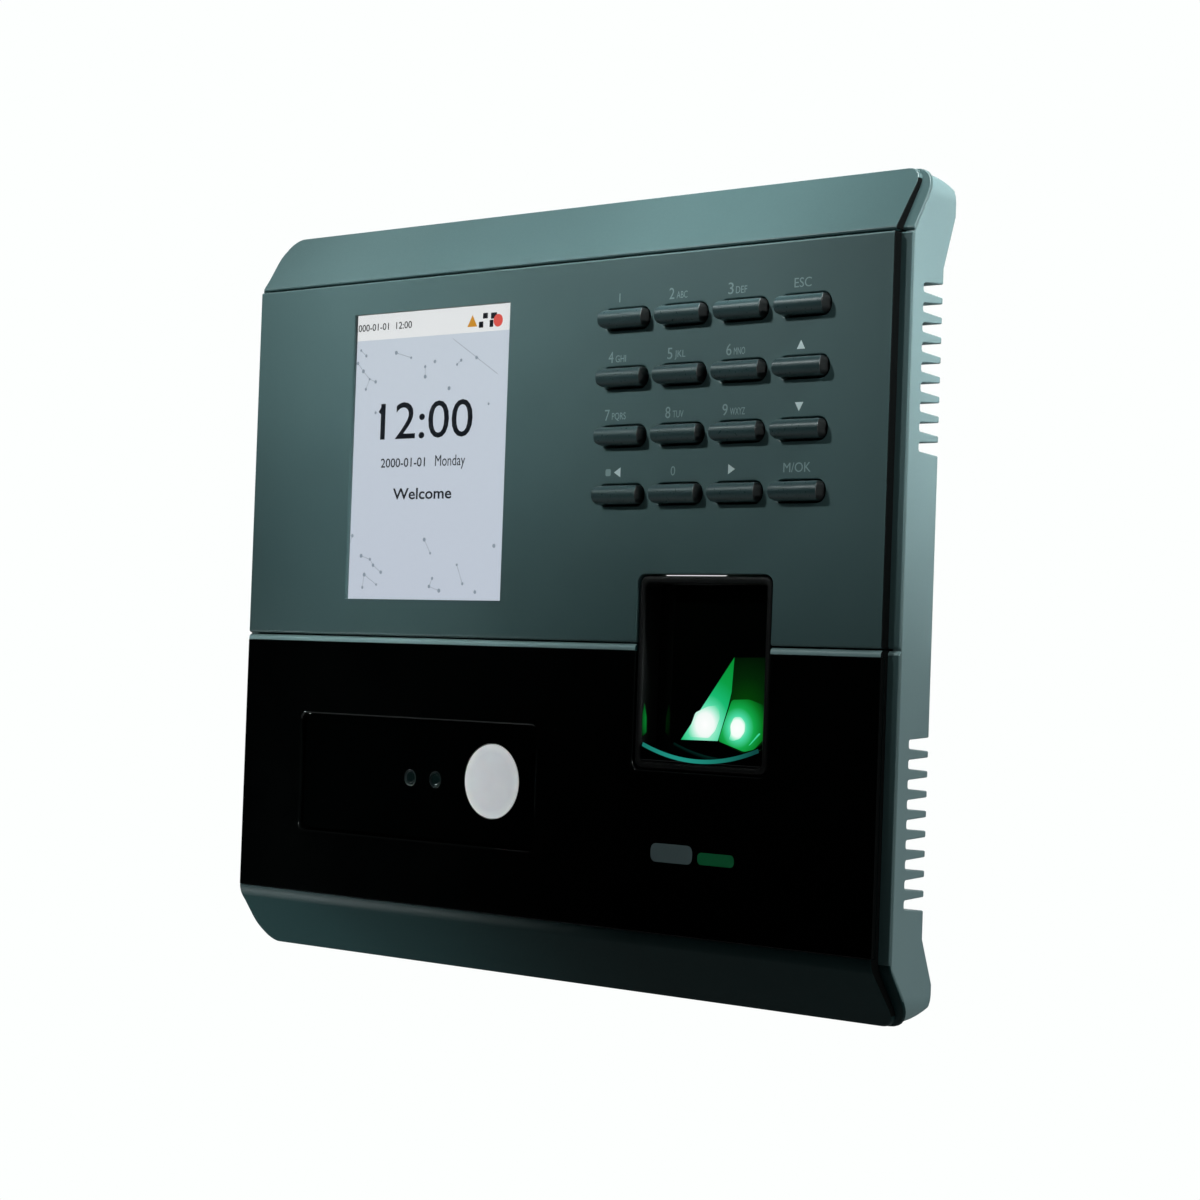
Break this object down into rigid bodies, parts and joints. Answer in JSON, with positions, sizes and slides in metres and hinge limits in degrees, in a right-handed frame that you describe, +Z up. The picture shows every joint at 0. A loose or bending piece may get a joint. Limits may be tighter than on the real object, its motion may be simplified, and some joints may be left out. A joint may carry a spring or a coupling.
{
  "type": "fingerprint terminal",
  "caption": "Wall-mounted fingerprint reader terminal with colour screen, numeric keypad, camera window, slotted rear shell, inner boards and steel wall bracket.",
  "frame": {"origin": "centre of the wall bracket's back face, on the wall plane", "axes": "+Y into the wall, -Y out of the front face, +X to the right as seen from the front, +Z up"},
  "size_m": [0.167, 0.0322, 0.1488],
  "materials": {
    "slate_trim": "satin moulded texture",
    "slate_plastic": "satin moulded texture",
    "gloss_black": "polished",
    "chassis_plastic": "moulded",
    "clear_acrylic": "polished, clear",
    "display_panel": "lit picture in a black frame",
    "key_plastic": "satin painted",
    "silicone_rubber": "matte",
    "board_laminate": "solder mask",
    "black_plastic": "moulded",
    "optical_glass": "polished",
    "smoked_acrylic": "polished, dark tinted",
    "opal_plastic": "opal, satin",
    "shell_plastic": "satin moulded texture",
    "zinc_steel": "zinc plated",
    "nickel_steel": "nickel plated",
    "terminal_green": "moulded",
    "cable_film": "polyester film"
  },
  "bodies": {
    "terminal": {"top_trim": "slate_trim", "upper_panel": "slate_plastic", "lower_panel": "slate_plastic", "lower_face": "gloss_black", "finger_guide": "gloss_black", "chassis": "chassis_plastic", "screen_window": "clear_acrylic", "display": "display_panel", "keypad_mat": "silicone_rubber", "keypad_board": "board_laminate", "reader_board": "board_laminate", "camera_board": "board_laminate", "main_board": "board_laminate", "reader_bezel": "black_plastic", "reader_body": "black_plastic", "power_socket": "black_plastic", "door_relay": "black_plastic", "speaker": "black_plastic", "tamper_switch": "black_plastic", "reader_glass": "optical_glass", "camera_lens": "optical_glass", "infrared_lens": "optical_glass", "camera_window": "smoked_acrylic", "light_diffuser": "opal_plastic", "flash_led": "opal_plastic", "rear_shell": "shell_plastic", "case_screw_top_left": "zinc_steel", "case_screw_top_right": "zinc_steel", "case_screw_bottom_left": "zinc_steel", "case_screw_bottom_right": "zinc_steel", "wall_bracket": "zinc_steel", "lock_screw": "zinc_steel", "network_socket": "nickel_steel", "usb_socket": "nickel_steel", "processor_shield": "nickel_steel", "coin_cell": "nickel_steel", "wire_terminals": "terminal_green", "screen_cable": "cable_film", "reader_cable": "cable_film"},
    "key_1_body": {"key_1": "key_plastic"},
    "key_2_body": {"key_2": "key_plastic"},
    "key_3_body": {"key_3": "key_plastic"},
    "key_esc_body": {"key_esc": "key_plastic"},
    "key_4_body": {"key_4": "key_plastic"},
    "key_5_body": {"key_5": "key_plastic"},
    "key_6_body": {"key_6": "key_plastic"},
    "key_up_body": {"key_up": "key_plastic"},
    "key_7_body": {"key_7": "key_plastic"},
    "key_8_body": {"key_8": "key_plastic"},
    "key_9_body": {"key_9": "key_plastic"},
    "key_down_body": {"key_down": "key_plastic"},
    "key_left_body": {"key_left": "key_plastic"},
    "key_0_body": {"key_0": "key_plastic"},
    "key_right_body": {"key_right": "key_plastic"},
    "key_ok_body": {"key_ok": "key_plastic"},
    "tamper_body": {"tamper_plunger": "opal_plastic"}
  },
  "joints": [
    {"name": "key_1_press", "type": "slide", "parent": "terminal", "child": "key_1_body", "axis": [0, 1, 0], "range_m": [0, 0.001], "stiffness_N_per_m": 300, "springref_m": -0.0005},
    {"name": "key_2_press", "type": "slide", "parent": "terminal", "child": "key_2_body", "axis": [0, 1, 0], "range_m": [0, 0.001], "stiffness_N_per_m": 300, "springref_m": -0.0005},
    {"name": "key_3_press", "type": "slide", "parent": "terminal", "child": "key_3_body", "axis": [0, 1, 0], "range_m": [0, 0.001], "stiffness_N_per_m": 300, "springref_m": -0.0005},
    {"name": "key_esc_press", "type": "slide", "parent": "terminal", "child": "key_esc_body", "axis": [0, 1, 0], "range_m": [0, 0.001], "stiffness_N_per_m": 300, "springref_m": -0.0005},
    {"name": "key_4_press", "type": "slide", "parent": "terminal", "child": "key_4_body", "axis": [0, 1, 0], "range_m": [0, 0.001], "stiffness_N_per_m": 300, "springref_m": -0.0005},
    {"name": "key_5_press", "type": "slide", "parent": "terminal", "child": "key_5_body", "axis": [0, 1, 0], "range_m": [0, 0.001], "stiffness_N_per_m": 300, "springref_m": -0.0005},
    {"name": "key_6_press", "type": "slide", "parent": "terminal", "child": "key_6_body", "axis": [0, 1, 0], "range_m": [0, 0.001], "stiffness_N_per_m": 300, "springref_m": -0.0005},
    {"name": "key_up_press", "type": "slide", "parent": "terminal", "child": "key_up_body", "axis": [0, 1, 0], "range_m": [0, 0.001], "stiffness_N_per_m": 300, "springref_m": -0.0005},
    {"name": "key_7_press", "type": "slide", "parent": "terminal", "child": "key_7_body", "axis": [0, 1, 0], "range_m": [0, 0.001], "stiffness_N_per_m": 300, "springref_m": -0.0005},
    {"name": "key_8_press", "type": "slide", "parent": "terminal", "child": "key_8_body", "axis": [0, 1, 0], "range_m": [0, 0.001], "stiffness_N_per_m": 300, "springref_m": -0.0005},
    {"name": "key_9_press", "type": "slide", "parent": "terminal", "child": "key_9_body", "axis": [0, 1, 0], "range_m": [0, 0.001], "stiffness_N_per_m": 300, "springref_m": -0.0005},
    {"name": "key_down_press", "type": "slide", "parent": "terminal", "child": "key_down_body", "axis": [0, 1, 0], "range_m": [0, 0.001], "stiffness_N_per_m": 300, "springref_m": -0.0005},
    {"name": "key_left_press", "type": "slide", "parent": "terminal", "child": "key_left_body", "axis": [0, 1, 0], "range_m": [0, 0.001], "stiffness_N_per_m": 300, "springref_m": -0.0005},
    {"name": "key_0_press", "type": "slide", "parent": "terminal", "child": "key_0_body", "axis": [0, 1, 0], "range_m": [0, 0.001], "stiffness_N_per_m": 300, "springref_m": -0.0005},
    {"name": "key_right_press", "type": "slide", "parent": "terminal", "child": "key_right_body", "axis": [0, 1, 0], "range_m": [0, 0.001], "stiffness_N_per_m": 300, "springref_m": -0.0005},
    {"name": "key_ok_press", "type": "slide", "parent": "terminal", "child": "key_ok_body", "axis": [0, 1, 0], "range_m": [0, 0.001], "stiffness_N_per_m": 300, "springref_m": -0.0005},
    {"name": "tamper_press", "type": "slide", "parent": "terminal", "child": "tamper_body", "axis": [0, -1, 0], "range_m": [0, 0.0012], "stiffness_N_per_m": 200, "springref_m": -0.0005}
  ]
}
